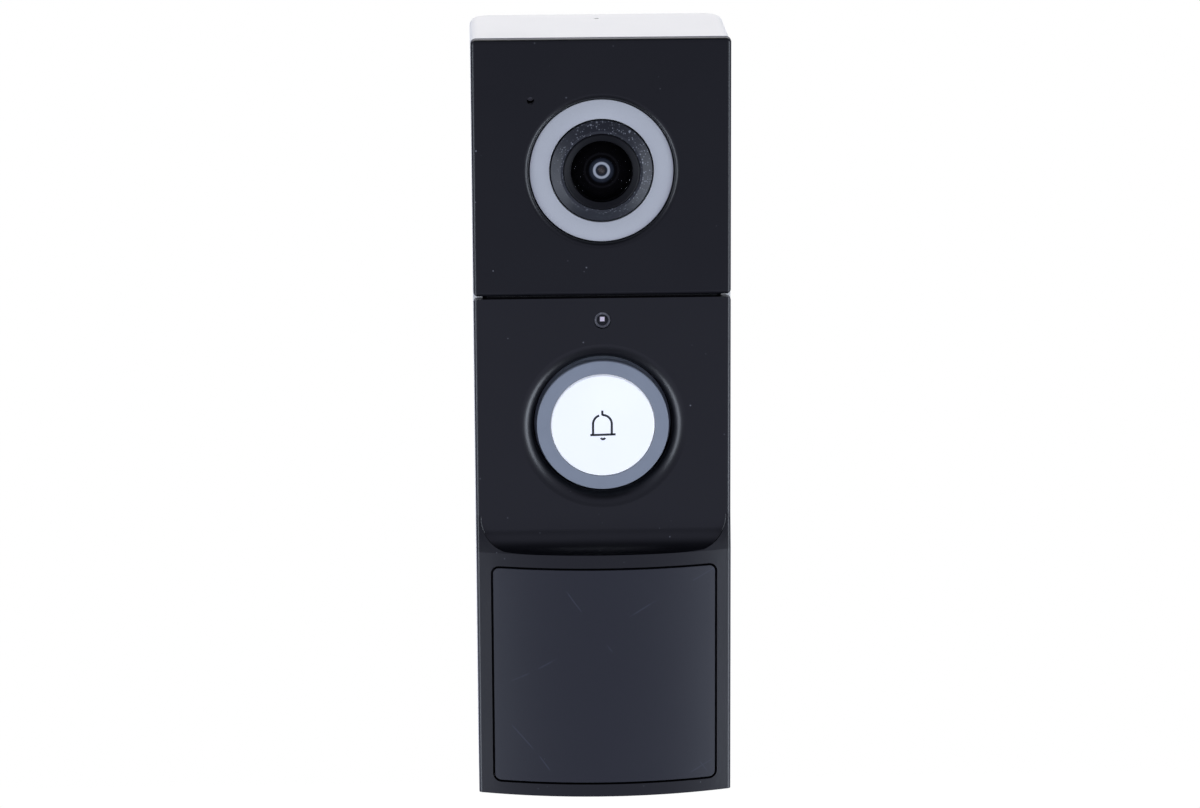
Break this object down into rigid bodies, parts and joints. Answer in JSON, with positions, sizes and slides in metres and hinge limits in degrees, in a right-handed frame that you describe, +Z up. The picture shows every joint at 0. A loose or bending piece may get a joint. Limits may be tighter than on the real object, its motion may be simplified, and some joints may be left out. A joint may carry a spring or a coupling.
{
  "type": "video doorbell",
  "caption": "Upright battery video doorbell: camera with silver ring, round bell button, curved movement-sensor panel, white rear housing on a wall bracket.",
  "frame": {"origin": "midpoint between the two wall screw holes, on the wall plane", "axes": "+Z up the doorbell, +Y into the wall, -Y out of the front, +X to the right seen from the front"},
  "size_m": [0.05, 0.0392, 0.1506],
  "materials": {
    "white_shell": "satin white moulded plastic, fine spark texture",
    "black_face": "satin black moulded plastic",
    "panel_face": "matte dark blue-grey infrared-clear plastic",
    "silver_ring": "fine bead-blasted, pale cool silver",
    "cone_face": "dark infrared-clear plastic with fine specks",
    "barrel_black": "matte black",
    "clear_glass": "coated glass, very dark reflection",
    "light_guide": "grey-blue translucent diffuser",
    "button_white": "white satin-gloss plastic",
    "frame_plastic": "plain black structural plastic",
    "soft_rubber": "soft black rubber",
    "soft_grey": "soft light-grey rubber",
    "bracket_plastic": "black glass-filled plastic, spark texture",
    "zinc_steel": "zinc-plated steel",
    "spring_steel": "bright spring wire",
    "circuit_green": "green solder mask",
    "chip_black": "black chip resin",
    "chip_white": "white ceramic chip",
    "tin_plate": "tinned sheet",
    "cell_wrap": "blue shrink wrap",
    "tray_plastic": "dark grey plastic",
    "antenna_film": "amber film with copper",
    "brass_screw": "nickelled brass",
    "lamp_resin": "clear resin lamp",
    "foam_black": "black foam"
  },
  "bodies": {
    "doorbell": {"wall_bracket": "bracket_plastic", "rear_housing": "white_shell", "housing_seal": "soft_rubber", "case_screws": "zinc_steel", "latch_spring": "spring_steel", "latch_cover": "tray_plastic", "front_frame": "frame_plastic", "head_cover": "black_face", "lower_cover": "black_face", "camera_trim_ring": "silver_ring", "camera_cone": "cone_face", "lens_barrel": "barrel_black", "lens_dome": "clear_glass", "second_lens": "clear_glass", "aperture_ring": "barrel_black", "rear_lens": "clear_glass", "lens_holder": "frame_plastic", "image_sensor": "chip_black", "camera_board": "circuit_green", "front_board": "circuit_green", "infrared_lamps": "lamp_resin", "microphone": "tin_plate", "microphone_boot": "soft_rubber", "button_light_ring": "light_guide", "button_switch": "tin_plate", "button_board": "circuit_green", "button_lamps": "chip_white", "button_seal": "soft_rubber", "sensor_window": "clear_glass", "light_sensor": "chip_white", "sensor_panel": "panel_face", "pir_board": "circuit_green", "pir_sensor": "tin_plate", "battery_cells": "cell_wrap", "battery_tray": "tray_plastic", "main_board": "circuit_green", "shield_can": "tin_plate", "wifi_antenna": "antenna_film", "terminal_block": "frame_plastic", "terminal_screws": "brass_screw", "port_board": "circuit_green", "charging_port": "tin_plate", "reset_switch": "chip_black", "speaker": "chip_black", "speaker_gasket": "foam_black"},
    "button": {"button_cap": "button_white", "switch_plunger": "chip_black"},
    "latch": {"release_latch": "tray_plastic"},
    "flap": {"port_flap": "soft_grey"},
    "reset": {"reset_button": "soft_grey"}
  },
  "joints": [
    {"name": "button_press", "type": "slide", "parent": "doorbell", "child": "button", "axis": [0, 1, 0], "range_m": [0, 0.0005], "stiffness_N_per_m": 3000, "springref_m": -0.0002},
    {"name": "latch_slide", "type": "slide", "parent": "doorbell", "child": "latch", "axis": [0, 0, -1], "range_m": [0, 0.002], "stiffness_N_per_m": 400, "springref_m": -0.001, "deforming": ["latch_spring"]},
    {"name": "flap_hinge", "type": "hinge", "parent": "doorbell", "child": "flap", "pos_m": [-0.01, -0.0084, -0.07475], "axis": [1, 0, 0], "range_deg": [0, 100]},
    {"name": "reset_press", "type": "slide", "parent": "doorbell", "child": "reset", "axis": [0, 0, 1], "range_m": [0, 0.0004], "stiffness_N_per_m": 1500, "springref_m": -0.0002}
  ]
}
